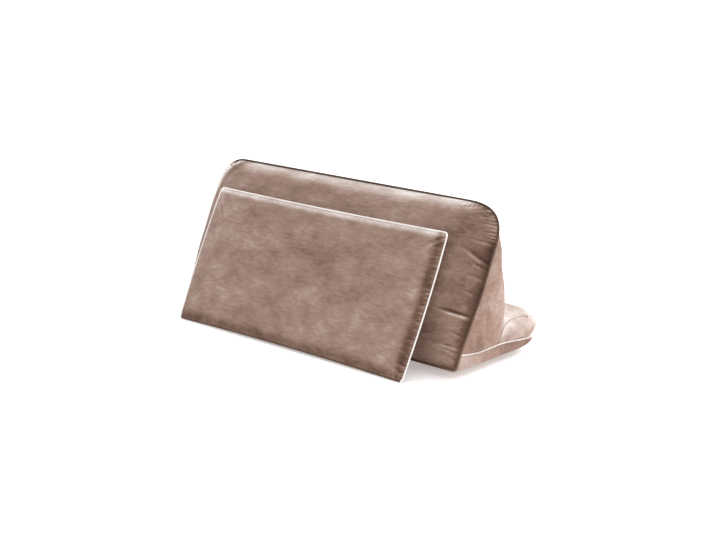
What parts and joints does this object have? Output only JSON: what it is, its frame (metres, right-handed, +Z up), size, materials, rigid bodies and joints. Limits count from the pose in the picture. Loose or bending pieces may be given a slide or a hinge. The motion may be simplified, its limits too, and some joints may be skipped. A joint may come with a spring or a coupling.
{
  "type": "back cushion",
  "caption": "Velvet wedge back cushion with a low stuffed foot, piped seams and a flat piped flap pad leaning on its slanted back.",
  "frame": {"origin": "middle of the whole cushion on the surface it stands on", "axes": "+X along the cushion, +Y from the slanted back towards the foot, +Z up"},
  "size_m": [1.0244, 0.4478, 0.4014],
  "materials": {
    "velvet": "matt rose-brown velvet pile",
    "piping_velvet": "matt velvet drawn over cord"
  },
  "bodies": {
    "root": {"wedge": "velvet", "foot": "velvet", "flap": "velvet", "wedge_piping": "piping_velvet", "base_piping": "piping_velvet", "flap_piping": "piping_velvet"}
  },
  "joints": []
}
